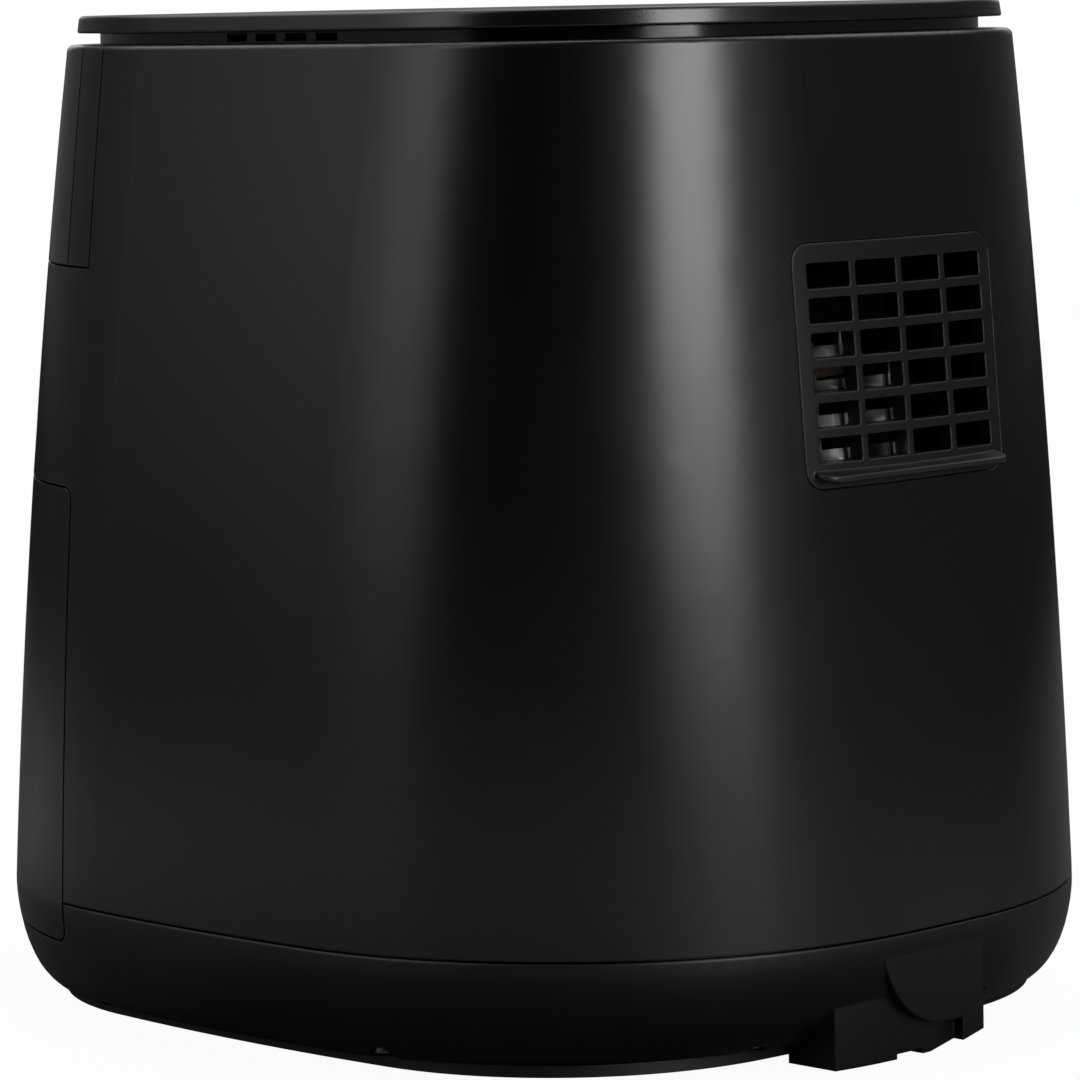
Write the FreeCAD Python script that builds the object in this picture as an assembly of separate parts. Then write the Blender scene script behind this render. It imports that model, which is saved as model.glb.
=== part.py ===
"""Drawer-type air fryer: tapered plastic housing, sliding pan with crisper tray, top heater and fan.

Millimetres, +Z up, front towards -Y. Shapes are modelled about the housing's own centre line and moved
along Y at the end, so that the origin is the middle of the whole object's footprint.
"""
import FreeCAD, Part
import math
import os

V = FreeCAD.Vector
X_AXIS = V(1, 0, 0)
Y_AXIS = V(0, 1, 0)
Z_AXIS = V(0, 0, 1)

# Heights of the outer form
foot_height = 3.5
rim_height = 3.5
base_height = 31.2
shell_height = 255.3
air_gap = 3.5
plate_thickness = 5.2

# Plan of the outer form at the base seam and at the top edge
seam_half_width = 141.9
seam_half_depth = 162.3
seam_corner_rear = 127.8
seam_corner_front = 120.6
top_half_width = 120.1
top_half_depth = 141.8
top_corner_rear = 90.7
top_corner_front = 105.8
side_radius = 718.0
rear_radius = 472.0
front_radius = 475.0
side_swell = 0.58
loft_steps = 4
base_tuck_side = 11.4
base_tuck_end = 22.4

# Walls, gaps and clearances
skin = 2.6
edge_round = 2.2
seam_gap = 0.7
panel_gap = 0.7
drawer_gap = 0.8
vent_gap = 0.3
seat_gap = 0.2
slide_gap = 0.3
running_gap = 0.05
sheet = 1.0
top_flange = 2.5
flange_reach = 16.0
tongue = 2.0
tongue_height = 6.0

# Base plate, feet and screws
rim_step_side = 4.5
rim_step_end = 2.9
rim_corner = 83.2
rim_wall = 4.0
base_floor = 2.0
base_land = 8.0
foot_radius = 10.0
foot_stem = 4.0
foot_x = 80.0
foot_front = 95.0
foot_rear = 80.0
pocket_radius = 4.5
pocket_depth = 4.0
pocket_side_front = 53.0
pocket_side_rear = 62.0
pocket_rear = 57.0
pocket_offset = 4.0
boss_radius = 7.0
boss_height = 11.0
screw_head = 3.4
screw_shank = 1.6

# Cord outlet at the rear of the base
outlet_x = 11.75
outlet_half_width = 28.75
outlet_inset = 4.0
outlet_drop = 2.0
outlet_slant = 20.0
outlet_rise = 4.1
outlet_top = 26.0
notch_half_width = 5.5
notch_height = 1.5
notch_depth = 9.0
lobe_x = 0.0
lobe_radius = 26.0
lobe_floor = 10.5
lobe_foot = 9.5
lobe_inset = 0.3
gland_y = 155.6
gland_z = 11.4
gland_radius = 4.0
gland_bore = 3.0
gland_length = 7.5
gland_recess = 1.0
gland_flange = 5.2
gland_flange_wall = 2.0
cord_groove = 10.0
channel_length = 18.0
channel_side = 0.5
channel_low = 5.5
channel_high = 17.0

# Top cap and air intake
plate_inset = 3.0
plate_draft = 0.8
plate_round = 1.5
plate_under_round = 0.6
plate_shell = 2.8
neck_inset = 10.0
neck_wall = 3.0
intake_count = 4
intake_width = 9.0
intake_pitch = 12.5
intake_y = 9.5
intake_margin = 0.7

# Control panel
panel_height = 65.8
panel_y = 61.3
groove_y = 76.5
panel_back = 2.0
board_thickness = 1.6
board_half_width = 58.0
board_half_height = 21.0
board_setback = 14.0
display_half_width = 33.0
display_half_height = 12.0
display_depth = 6.0
board_boss = 2.6
board_boss_x = 52.0
board_boss_z = 16.0
chip_half_height = 8.0

# Rear vent
vent_half_width = 43.0
vent_bottom = 128.0
vent_height = 69.3
vent_corner = 6.0
vent_depth = 5.0
vent_columns = 4
vent_rows = 6
hole_width = 17.0
hole_height = 7.2
hole_corner = 0.8
column_pitch = 19.4
row_pitch = 9.8
hole_floor = 7.3
lip_reach = 4.0
lip_thickness = 1.8
lip_half_width = 40.0
lip_height = 3.0
lip_corner = 5.0
lip_round = 0.6
lip_droop = 13.0
duct_wall = 0.8
duct_margin = 2.0
baffle_depth = 2.0
baffle_shift = 7.0
baffle_strip = 1.8
tab_width = 14.0
tab_height = 4.2
tab_rows = 4
tab_columns = 2

# Cooking cavity
chamber_half_width = 112.0
chamber_rear = 112.0
chamber_floor = 23.0
chamber_ceiling = 207.0
chamber_corner = 40.0
exhaust_half_width = 36.0
exhaust_height = 30.0
exhaust_below_ceiling = 6.0
shield_space = 3.5
shield_bottom = 33.0
shield_height = 150.0
dimple = 12.0

# Drawer bay
mouth_y = 65.6
mouth_bottom = 26.0
mouth_top = 163.1
mouth_corner = 5.0
bay_wall = 2.5
bay_clear = 4.0
rail_width = 8.0
rail_x = 84.0

# Drawer
pan_half_width = 105.0
pan_rear = 105.0
pan_front = 124.0
pan_lift = 7.0
pan_height = 120.0
pan_wall = 1.2
pan_corner_rear = 36.0
pan_corner_front = 58.0
pan_rim = 2.0
liner_inset = 10.0
liner_wall = 2.0
bracket_half_width = 32.0
bracket_height = 70.0
bracket_wall = 2.0
magnet_half_width = 7.0
magnet_length = 8.0
magnet_height = 5.0
sensor_half_width = 9.0
sensor_length = 8.0
sensor_height = 9.0

# Handle
handle_middle = 112.0
handle_height = 92.0
handle_half_width = 18.0
handle_projection = 46.0
handle_grip = 17.0
handle_arm = 17.0
handle_round = 6.0
cover_depth = 4.0
cover_margin = 5.0
handle_screw = 2.0
handle_screw_head = 3.5
handle_screw_grip = 6.0

# Crisper tray
tray_gap = 4.0
tray_height = 12.0
tray_thickness = 1.5
tray_skirt = 5.0
leg_radius = 5.0
leg_inset = 24.0
bumper_radius = 6.5
bumper_height = 3.0
slot_length = 30.0
slot_width = 6.0
slot_corner = 2.8
slot_pitch_x = 40.0
slot_pitch_y = 20.0
slot_columns = 4
slot_rows = 8

# Heater, fan and motor on one vertical axis
fan_y = 20.0
dish_radius = 82.0
dish_height = 22.0
dish_flange = 6.0
dish_hole = 2.0
heater_tube = 3.2
heater_radius = 70.0
heater_step = 9.0
heater_half_turns = 4
heater_drop = 4.0
terminal_length = 34.0
terminal_drop = 8.0
terminal_angle = 15.0
strap_count = 3
strap_width = 8.0
strap_angle = 60.0
guard_drop = 22.0
guard_bar = 4.0
guard_rings = 4
guard_spokes = 6
guard_legs = 3
guard_leg = 1.5
shaft_radius = 3.0
shaft_end = 2.0
fan_radius = 60.0
fan_disc = 1.2
fan_blade_height = 11.0
fan_blade_wall = 1.0
fan_blades = 10
fan_hub = 8.0
fan_floor = 5.0
blade_pitch = 25.0
nut_height = 4.0
nut_radius = 6.0
cooler_radius = 52.0
cooler_blade_height = 9.0
cooler_blades = 9
cooler_floor = 4.0
motor_gap = 4.0
motor_plate = 3.0
motor_leg = 2.5
motor_leg_count = 4
leg_orbit = 65.0
stator_radius = 32.0
stator_height = 28.0
stator_wall = 9.0
rotor_gap = 0.8
bush_height = 6.0
bush_radius = 7.0

# Boards and sensors
carrier_margin = 2.0
carrier_wall = 2.5
carrier_height = 118.0
power_height = 66.0
relay_size = 16.0
cutout_radius = 6.0
cutout_height = 6.0
cutout_angle = 180.0
probe_radius = 2.5
probe_length = 16.0
probe_x = 92.0
probe_y = 80.0

# Levels and planes that follow from the sizes above
rim_z = foot_height
base_z = rim_z + rim_height
seam_z = base_z + base_height
shell_top = seam_z + shell_height
plate_z = shell_top + air_gap
plate_top = plate_z + plate_thickness
panel_z = shell_top - panel_height
vent_z = seam_z + vent_bottom
floor_z = base_z + chamber_floor
ceiling_z = base_z + chamber_ceiling
bay_y = -mouth_y + bay_wall
pan_z = floor_z + pan_lift
pan_top = pan_z + pan_height
far = 2 * (seam_half_depth + handle_projection)
rear_lean = math.degrees(math.atan2(seam_half_depth - top_half_depth, shell_height))


def box(x0, x1, y0, y1, z0, z1):
    return Part.makeBox(x1 - x0, y1 - y0, z1 - z0, V(x0, y0, z0))


def rod(radius, z0, z1, x=0.0, y=0.0):
    return Part.makeCylinder(radius, z1 - z0, V(x, y, z0))


def ring(outer, inner, z0, z1, x=0.0, y=0.0):
    return rod(outer, z0, z1, x, y).cut(rod(inner, z0 - 1, z1 + 1, x, y))


def fuse(shapes):
    """One solid from touching or overlapping shapes."""
    shapes = list(shapes)
    return shapes[0].multiFuse(shapes[1:]).removeSplitter()


def group(shapes):
    """Separate solids kept together under one name."""
    return Part.makeCompound(list(shapes))


def rounded_outline(u0, u1, v0, v1, radius, place):
    """Rectangle with round corners; place turns its two coordinates into a point."""
    k = radius * (1 - math.sqrt(0.5))
    corners = (
        ((u1 - radius, v0), (u1 - k, v0 + k), (u1, v0 + radius)),
        ((u1, v1 - radius), (u1 - k, v1 - k), (u1 - radius, v1)),
        ((u0 + radius, v1), (u0 + k, v1 - k), (u0, v1 - radius)),
        ((u0, v0 + radius), (u0 + k, v0 + k), (u0 + radius, v0)),
    )
    edges = []
    for this, following in zip(corners, corners[1:] + corners[:1]):
        start, middle, end = [place(*point) for point in this]
        edges.append(Part.Arc(start, middle, end).toShape())
        edges.append(Part.LineSegment(end, place(*following[0])).toShape())
    return Part.Wire(edges)


def rounded_box(x0, x1, y0, y1, z0, z1, radius):
    """Block with round vertical edges."""
    outline = rounded_outline(x0, x1, y0, y1, radius, lambda u, v: V(u, v, z0))
    return Part.Face(outline).extrude(Z_AXIS * (z1 - z0))


def rounded_window(x0, x1, z0, z1, radius, y0, y1):
    """Block with round edges along Y."""
    outline = rounded_outline(x0, x1, z0, z1, radius, lambda u, v: V(u, y0, v))
    return Part.Face(outline).extrude(Y_AXIS * (y1 - y0))


def corner_centre(side_x, end_y, side_reach, end_reach, sign):
    """Point at side_reach from the side arc's centre and end_reach from the end arc's centre."""
    dx = -side_x
    dy = end_y
    span = math.hypot(dx, dy)
    along = (side_reach ** 2 - end_reach ** 2 + span ** 2) / (2 * span)
    off = math.sqrt(side_reach ** 2 - along ** 2)
    x = side_x + along * dx / span + sign * off * dy / span
    y = along * dy / span - sign * off * dx / span
    return V(x, y, 0)


def plan_wire(z, half_width, half_depth, corner_rear, corner_front, inset=0.0):
    """Closed plan of eight arcs: bowed sides and ends joined by tangent corners, drawn in by inset."""
    side = V(half_width - side_radius, 0, 0)
    rear = V(0, half_depth - rear_radius, 0)
    front = V(0, front_radius - half_depth, 0)

    def corner(end, end_radius, radius, sign):
        centre = corner_centre(side.x, end.y, side_radius - radius, end_radius - radius, sign)
        from_side = (centre - side).normalize()
        from_end = (centre - end).normalize()
        middle = (from_side + from_end).normalize()
        reach = radius - inset
        return centre + from_side * reach, centre + middle * reach, centre + from_end * reach

    rear_points = corner(rear, rear_radius, corner_rear, -1)
    front_points = corner(front, front_radius, corner_front, 1)
    lift = V(0, 0, z)

    def mirror(point):
        return V(-point.x, point.y, 0)

    side_middle = V(half_width - inset, 0, 0)
    rear_middle = V(0, half_depth - inset, 0)
    front_middle = V(0, inset - half_depth, 0)
    left_rear = [mirror(point) for point in rear_points]
    left_front = [mirror(point) for point in front_points]
    arcs = (
        (front_points[0], side_middle, rear_points[0]),
        rear_points,
        (rear_points[2], rear_middle, left_rear[2]),
        (left_rear[2], left_rear[1], left_rear[0]),
        (left_rear[0], mirror(side_middle), left_front[0]),
        left_front,
        (left_front[2], front_middle, front_points[2]),
        (front_points[2], front_points[1], front_points[0]),
    )
    return Part.Wire([Part.Arc(*[point + lift for point in arc]).toShape() for arc in arcs])


def between(low, high, share):
    return low + (high - low) * share


def shell_plan(z):
    """Half width, half depth and corner radii of the tapered shell at height z."""
    share = (z - seam_z) / shell_height
    swelled = share + side_swell * share * (share - 1)
    return (
        between(seam_half_width, top_half_width, swelled),
        between(seam_half_depth, top_half_depth, share),
        between(seam_corner_rear, top_corner_rear, share),
        between(seam_corner_front, top_corner_front, share),
    )


def shell_form(inset=0.0, low=seam_z, high=shell_top):
    """Solid inside the shell's outer surface, drawn in by inset."""
    levels = [between(low, high, step / loft_steps) for step in range(loft_steps + 1)]
    return Part.makeLoft([plan_wire(z, *shell_plan(z), inset) for z in levels], True, False)


def base_form(inset=0.0):
    """Solid inside the base shell: an elliptical tuck from the seam down to the underside."""
    depth = base_height - inset
    wires = []
    for angle in (0, 20, 40, 58, 74, 90):
        z = seam_z - depth * math.sin(math.radians(angle))
        share = 1 - math.cos(math.radians(angle))
        side = (base_tuck_side - inset) * share
        end = (base_tuck_end - inset) * share
        plan = (
            seam_half_width - side,
            seam_half_depth - end,
            seam_corner_rear - end,
            seam_corner_front - end,
        )
        wires.append(plan_wire(z, *plan, inset))
    return Part.makeLoft(wires[::-1], True, False)


def body_form(inset):
    return shell_form(inset).fuse(base_form(inset))


def rim_prism(inset, z0, z1):
    """Upright block on the base plate's plan."""
    wire = plan_wire(
        z0,
        seam_half_width - base_tuck_side - rim_step_side,
        seam_half_depth - base_tuck_end - rim_step_end,
        rim_corner,
        rim_corner,
        inset,
    )
    return Part.Face(wire).extrude(Z_AXIS * (z1 - z0))


def top_prism(inset, z0, z1):
    """Upright block on the plan of the shell's top edge."""
    return Part.Face(plan_wire(z0, *shell_plan(shell_top), inset)).extrude(Z_AXIS * (z1 - z0))


def mouth_prism(gap):
    """Space of the drawer front, open to the front, with round rear corners."""
    radius = mouth_corner - gap
    outline = rounded_outline(
        -far, -mouth_y - gap, mouth_bottom + gap, mouth_top - gap, radius, lambda u, v: V(-far, u, v)
    )
    return Part.Face(outline).extrude(X_AXIS * (2 * far))


def vent_window(gap, y0, y1):
    return rounded_window(
        gap - vent_half_width,
        vent_half_width - gap,
        vent_z + gap,
        vent_z + vent_height - gap,
        vent_corner - gap,
        y0,
        y1,
    )


def panel_space(gap, y_edge):
    """Space of the control panel in front of a plane."""
    return box(-far, far, -far, -y_edge - gap, panel_z + gap, plate_top)


def edges_at(shape, z):
    """Edges of a shape that lie wholly at one height."""
    tolerance = 0.01
    bounds = [(edge, edge.BoundBox) for edge in shape.Edges]
    return [edge for edge, span in bounds if max(abs(span.ZMin - z), abs(span.ZMax - z)) < tolerance]


parts = {}

# Outer surfaces that the plastic pieces are cut from
outer_shell = shell_form()
outer_shell = outer_shell.makeFillet(edge_round, edges_at(outer_shell, shell_top))
inner_shell = shell_form(skin)
outer_base = base_form().common(box(-far, far, -far, far, base_z, seam_z))
outer_body = outer_shell.fuse(outer_base)
inner_body = body_form(skin)
lining_body = body_form(skin + seat_gap)
panel_back_outer = shell_form(skin + seat_gap)
panel_back_inner = shell_form(skin + seat_gap + panel_back)
panel_room = shell_form(skin + 2 * seat_gap + panel_back)

# Main shell
shell_cavity = shell_form(skin, high=shell_top - top_flange)
main_shell = outer_shell.cut(shell_cavity)
main_shell = main_shell.cut(top_prism(flange_reach, shell_top - 2 * top_flange, plate_z))
main_shell = main_shell.cut(panel_space(0, panel_y).cut(panel_room))
main_shell = main_shell.cut(mouth_prism(0))
main_shell = main_shell.cut(vent_window(0, 0, far))
main_shell = main_shell.cut(box(-far, far, -far, far, 0, seam_z + seam_gap))
parts["main_shell"] = main_shell


def pocket_places():
    """Centres of the screw recesses, just outside the base plate's rim."""
    half_width = seam_half_width - base_tuck_side - rim_step_side
    half_depth = seam_half_depth - base_tuck_end - rim_step_end

    def bow(offset, radius):
        return offset ** 2 / (2 * radius)

    places = []
    for sign in (-1, 1):
        for y in (-pocket_side_front, pocket_side_rear):
            places.append((sign * (half_width - bow(y, side_radius) + pocket_offset), y))
        places.append((sign * pocket_rear, half_depth - bow(pocket_rear, rear_radius) + pocket_offset))
    return places


# Base shell with its tongue, screw bosses and cord outlet block
base_shell = outer_base.cut(base_form(skin))
tongue_ring = lining_body.cut(body_form(skin + seat_gap + tongue))
tongue_ring = tongue_ring.common(box(-far, far, -far, far, seam_z - tongue_height, seam_z + tongue_height))
tongue_root = inner_body.cut(body_form(skin + seat_gap + tongue))
tongue_root = tongue_root.common(box(-far, far, -far, far, seam_z - tongue_height, seam_z - seam_gap))
outlet_y = seam_half_depth - base_tuck_end - rim_step_end + seat_gap
outlet_low = rim_z - outlet_drop
outlet_end = outlet_x - outlet_half_width


def outlet_prism(inset, z0, z1):
    """Upright block behind the base plate on the seam's plan drawn in by inset."""
    wire = plan_wire(z0, seam_half_width, seam_half_depth, seam_corner_rear, seam_corner_front, inset)
    return Part.Face(wire).extrude(Z_AXIS * (z1 - z0)).common(box(-far, far, outlet_y, far, z0, z1))


outlet_block = outlet_prism(outlet_inset, outlet_low, outlet_top)
outlet_block = outlet_block.common(box(outlet_end, outlet_x + outlet_half_width, 0, far, 0, outlet_top))
lobe_middle = lobe_floor + lobe_radius
lobe_outline = fuse(
    [
        Part.makeCylinder(lobe_radius, far, V(lobe_x, 0, lobe_middle), Y_AXIS),
        box(outlet_end, lobe_x, 0, far, lobe_floor, lobe_middle),
        box(outlet_end, outlet_end + lobe_foot, 0, far, 0, lobe_middle),
    ]
)
lobe = outlet_prism(lobe_inset, outlet_low, seam_z - seam_gap).common(lobe_outline)
lobe = lobe.common(box(outlet_end, far, 0, far, 0, lobe_middle))
outlet_block = fuse([outlet_block, lobe]).cut(inner_body)
boss_top = base_z + boss_height
bosses = [rod(boss_radius, base_z, boss_top, x, y).common(outer_base) for x, y in pocket_places()]
base_shell = fuse([base_shell, tongue_ring, tongue_root, outlet_block] + bosses)
base_shell = base_shell.cut(rim_prism(base_land, 0, base_z + 2 * skin))
base_shell = base_shell.cut(mouth_prism(0))
for x, y in pocket_places():
    base_shell = base_shell.cut(rod(pocket_radius, 0, base_z + pocket_depth, x, y))
    base_shell = base_shell.cut(rod(screw_shank + running_gap, base_z, boss_top - sheet, x, y))
notch_y = seam_half_depth - outlet_inset
base_shell = base_shell.cut(
    box(
        outlet_x - notch_half_width,
        outlet_x + notch_half_width,
        notch_y - notch_depth,
        far,
        0,
        outlet_low + notch_height,
    )
)
slant_corners = (
    V(outlet_end, 0, outlet_low),
    V(outlet_end + outlet_slant, 0, outlet_low),
    V(outlet_end, 0, outlet_low + outlet_rise),
    V(outlet_end, 0, outlet_low),
)
base_shell = base_shell.cut(Part.Face(Part.makePolygon(slant_corners)).extrude(Y_AXIS * far))
gland_start = outlet_end + gland_recess
flange_start = gland_start + gland_length - gland_flange_wall
groove_start = V(outlet_end - cord_groove, gland_y, gland_z)
bore_length = cord_groove + gland_recess + gland_length
base_shell = base_shell.cut(Part.makeCylinder(gland_radius + seat_gap, bore_length, groove_start, X_AXIS))


def cord_channel(margin):
    """Passage from the gland into the hollow of the base, drawn in by margin."""
    return box(
        flange_start - seat_gap,
        flange_start + channel_length,
        outlet_y + channel_low,
        gland_y + channel_side - margin,
        outlet_low + channel_low + margin,
        channel_high,
    )


base_shell = base_shell.cut(cord_channel(0))
parts["base_shell"] = base_shell

# Cord gland, pressed in from inside at the end of the outlet block
gland = Part.makeCylinder(gland_radius, gland_length, V(gland_start, gland_y, gland_z), X_AXIS)
flange = Part.makeCylinder(gland_flange, gland_flange_wall, V(flange_start, gland_y, gland_z), X_AXIS)
gland = gland.fuse(flange.common(cord_channel(seat_gap)))
gland = gland.cut(Part.makeCylinder(gland_bore, 2 * gland_length, V(outlet_end, gland_y, gland_z), X_AXIS))
parts["cord_gland"] = gland

# Base plate, feet and screws
base_plate = rim_prism(0, rim_z, base_z).cut(rim_prism(rim_wall, rim_z + base_floor, base_z + 1))
feet_places = [(sx * foot_x, y) for sx in (-1, 1) for y in (-foot_front, foot_rear)]
feet = []
for x, y in feet_places:
    base_plate = base_plate.cut(rod(foot_stem + seat_gap, 0, base_z, x, y))
    feet.append(fuse([rod(foot_radius, 0, rim_z, x, y), rod(foot_stem, 0, rim_z + base_floor, x, y)]))
parts["base_plate"] = base_plate
parts["rubber_feet"] = group(feet)
screws = []
for x, y in pocket_places():
    seat = base_z + pocket_depth
    head = rod(screw_head, seat - screw_head / 2, seat, x, y)
    screws.append(head.fuse(rod(screw_shank, seat, boss_top - 2 * sheet, x, y)))
parts["base_screws"] = group(screws)

# Slotted neck and top cap
neck = top_prism(neck_inset, shell_top, plate_z).cut(top_prism(neck_inset + neck_wall, 0, plate_top))
for index in range(intake_count):
    slot_y = intake_y + (index - (intake_count - 1) / 2) * intake_pitch
    neck = neck.cut(
        box(
            -far,
            far,
            slot_y - intake_width / 2,
            slot_y + intake_width / 2,
            shell_top + intake_margin,
            plate_z - intake_margin,
        )
    )
parts["intake_ring"] = neck
top_plan = shell_plan(shell_top)
cap_foot = plan_wire(plate_z, *top_plan, plate_inset)
cap_head = plan_wire(plate_top, *top_plan, plate_inset + plate_draft)
cap = Part.makeLoft([cap_foot, cap_head], True, True)
cap = cap.makeFillet(plate_round, edges_at(cap, plate_top))
cap = cap.makeFillet(plate_under_round, edges_at(cap, plate_z))
pocket = top_prism(neck_inset + 2 * neck_wall, plate_z - 1, plate_top - plate_shell)
parts["top_plate"] = cap.cut(pocket)

# Control panel: side bands and back wall in one piece, glossy fascia in front
panel_depth_y = shell_plan(panel_z + panel_height / 2)[1]
board_z = panel_z + panel_height / 2
board_y = -panel_depth_y + skin + seat_gap + panel_back + board_setback


def on_board(shape):
    """Lean a shape that was drawn upright in front of the board's centre."""
    shape.rotate(V(), X_AXIS, -rear_lean)
    shape.translate(V(0, board_y, board_z))
    return shape


panel_frame = panel_back_outer.cut(panel_back_inner).common(panel_space(panel_gap, panel_y))
panel_frame = panel_frame.common(box(-far, far, -far, far, 0, shell_top - edge_round))
band = outer_shell.cut(panel_back_outer).common(panel_space(panel_gap, panel_y))
band = band.cut(box(-far, far, -far, -groove_y, 0, plate_top))
panel_bosses = []
for sx in (-1, 1):
    for sz in (-1, 1):
        foot = V(sx * board_boss_x, -2 * board_setback, sz * board_boss_z)
        boss = Part.makeCylinder(board_boss, 2 * board_setback, foot, Y_AXIS)
        panel_bosses.append(on_board(boss).common(panel_back_outer))
panel_frame = fuse([panel_frame, band] + panel_bosses)
parts["panel_frame"] = panel_frame
fascia = outer_shell.cut(inner_shell).common(panel_space(panel_gap, groove_y))
parts["panel_fascia"] = fascia
board = box(-board_half_width, board_half_width, 0, board_thickness, -board_half_height, board_half_height)
chip = box(-board_half_width / 3, board_half_width / 3, board_thickness, 3 * board_thickness,
           -chip_half_height, chip_half_height)
parts["control_board"] = on_board(board.fuse(chip))
display = box(
    -display_half_width, display_half_width, -display_depth, 0, -display_half_height, display_half_height
)
parts["display_module"] = on_board(display)

# Rear vent grille with its lip
grille = outer_shell.cut(shell_form(vent_depth)).common(vent_window(vent_gap, 0, far))
hole_bottom = vent_z + hole_floor


def hole_left(column):
    """Low X edge of a grille column, counted from the +X side."""
    return (vent_columns - 1) / 2 * column_pitch - column * column_pitch - hole_width / 2


for column in range(vent_columns):
    for row in range(vent_rows):
        x0 = hole_left(column)
        z0 = hole_bottom + row * row_pitch
        grille = grille.cut(rounded_window(x0, x0 + hole_width, z0, z0 + hole_height, hole_corner, 0, far))
lip_z = vent_z + lip_height
lip_top = lip_z + lip_thickness
lip_root = shell_plan(lip_z)[1]
lip = rounded_box(
    -lip_half_width,
    lip_half_width,
    lip_root - lip_half_width,
    lip_root + lip_reach,
    lip_z,
    lip_top,
    lip_corner,
)
lip = lip.makeFillet(lip_round, edges_at(lip, lip_z) + edges_at(lip, lip_top))
lip.rotate(V(0, lip_root, lip_z), X_AXIS, -lip_droop)
parts["vent_grille"] = fuse([grille, lip.cut(shell_form(skin))])

# Exhaust duct between the cavity and the grille
chamber_back = chamber_rear + sheet
duct_x = vent_half_width - duct_margin
duct_low = vent_z + duct_margin
duct_high = vent_z + vent_height - duct_margin
exhaust_z1 = ceiling_z - exhaust_below_ceiling
exhaust_z0 = exhaust_z1 - exhaust_height
duct = box(-duct_x, duct_x, chamber_back, far, duct_low, duct_high)
duct = duct.cut(
    box(
        duct_wall - duct_x,
        duct_x - duct_wall,
        chamber_back + duct_wall,
        far,
        duct_low + duct_wall,
        duct_high - duct_wall,
    )
)
duct = duct.cut(box(-exhaust_half_width, exhaust_half_width, 0, far / 2, exhaust_z0, exhaust_z1))
parts["exhaust_duct"] = duct.common(shell_form(vent_depth + seat_gap))

# Steel baffle behind the grille: upright strips with a tab at each of the lower holes, one fewer inwards
baffle_high = hole_bottom + (tab_rows - 1) * row_pitch + tab_height
baffle_low = duct_low + duct_wall + slide_gap
combs = []
for column in range(tab_columns):
    edge = hole_left(column) + hole_width - baffle_shift + baffle_strip
    combs.append(box(edge - baffle_strip, edge, -sheet, 0, baffle_low, baffle_high))
    for row in range(tab_rows - column):
        z0 = hole_bottom + row * row_pitch - sheet
        combs.append(box(edge - tab_width, edge, -sheet, 0, z0, z0 + tab_height))
first_edge = hole_left(tab_columns - 1)
combs.append(box(first_edge, duct_x - 2 * duct_wall, -sheet, 0, baffle_low, baffle_low + sheet))
baffle = fuse(combs)
baffle.rotate(V(0, 0, vent_z), X_AXIS, rear_lean)
baffle.translate(V(0, shell_plan(vent_z)[1] - vent_depth - baffle_depth, 0))
parts["exhaust_baffle"] = baffle

# Cooking cavity: steel box open to the front, with a round opening in its roof
room_x = chamber_half_width
chamber_start = bay_y - 2 * chamber_corner
chamber = rounded_box(
    -room_x - sheet,
    room_x + sheet,
    chamber_start,
    chamber_back,
    floor_z - sheet,
    ceiling_z + sheet,
    chamber_corner + sheet,
)
room = rounded_box(-room_x, room_x, chamber_start, chamber_rear, floor_z, ceiling_z, chamber_corner)
chamber = chamber.cut(room)
chamber = chamber.cut(box(-far, far, -far, bay_y, 0, plate_top))
chamber = chamber.cut(rod(dish_radius - dish_flange, ceiling_z - sheet, plate_top, 0, fan_y))
chamber = chamber.cut(box(-exhaust_half_width, exhaust_half_width, 0, far, exhaust_z0, exhaust_z1))
parts["inner_chamber"] = chamber

# Heat shield round three sides of the cavity, dimpled to touch it
shield_x = room_x + sheet + shield_space
shield_z = base_z + shield_bottom
shield_top = shield_z + shield_height
shield_back = chamber_back + shield_space
shield_corner = chamber_corner + sheet + shield_space
shield = rounded_box(
    -shield_x - sheet,
    shield_x + sheet,
    chamber_start,
    shield_back + sheet,
    shield_z,
    shield_top,
    shield_corner + sheet,
)
shield = shield.cut(
    rounded_box(-shield_x, shield_x, chamber_start, shield_back, 0, plate_top, shield_corner)
)
shield = shield.cut(box(-far, far, -far, bay_y + dimple, 0, plate_top))
shield = shield.cut(box(-duct_x - sheet, duct_x + sheet, 0, far, duct_low - sheet, plate_top))
dimples = []
for z in (shield_z + dimple, shield_top - 2 * dimple):
    for y in (bay_y + 2 * dimple, chamber_rear - chamber_corner - 2 * dimple):
        for x0 in (-shield_x, room_x + sheet):
            dimples.append(box(x0, x0 + shield_space, y, y + dimple, z, z + dimple))
parts["heat_shield"] = fuse([shield] + dimples)

# Drawer bay: bulkhead with the pan's opening and a ledge over the drawer front
ledge_z = mouth_top + seat_gap
bay = lining_body.common(box(-far, far, -mouth_y, bay_y, base_z + skin, ledge_z + bay_wall))
bay = bay.cut(
    box(-room_x, room_x, -far, far, floor_z, pan_top + bay_clear)
)
ledge = lining_body.common(box(-far, far, -far, -mouth_y, ledge_z, ledge_z + bay_wall))
bay = fuse([bay, ledge])
tongue_room = lining_body.cut(body_form(skin + 2 * seat_gap + tongue))
tongue_reach = tongue_height + seat_gap
bay = bay.cut(tongue_room.common(box(-far, far, -far, far, seam_z - tongue_reach, seam_z + tongue_reach)))
parts["drawer_bay"] = bay

# Rails on the cavity floor
rail_top = pan_z - slide_gap
rails = []
for sign in (-1, 1):
    rails.append(
        box(
            sign * rail_x - rail_width / 2,
            sign * rail_x + rail_width / 2,
            bay_y,
            chamber_rear - chamber_corner,
            floor_z,
            rail_top,
        )
    )
parts["drawer_rails"] = group(rails)

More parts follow.
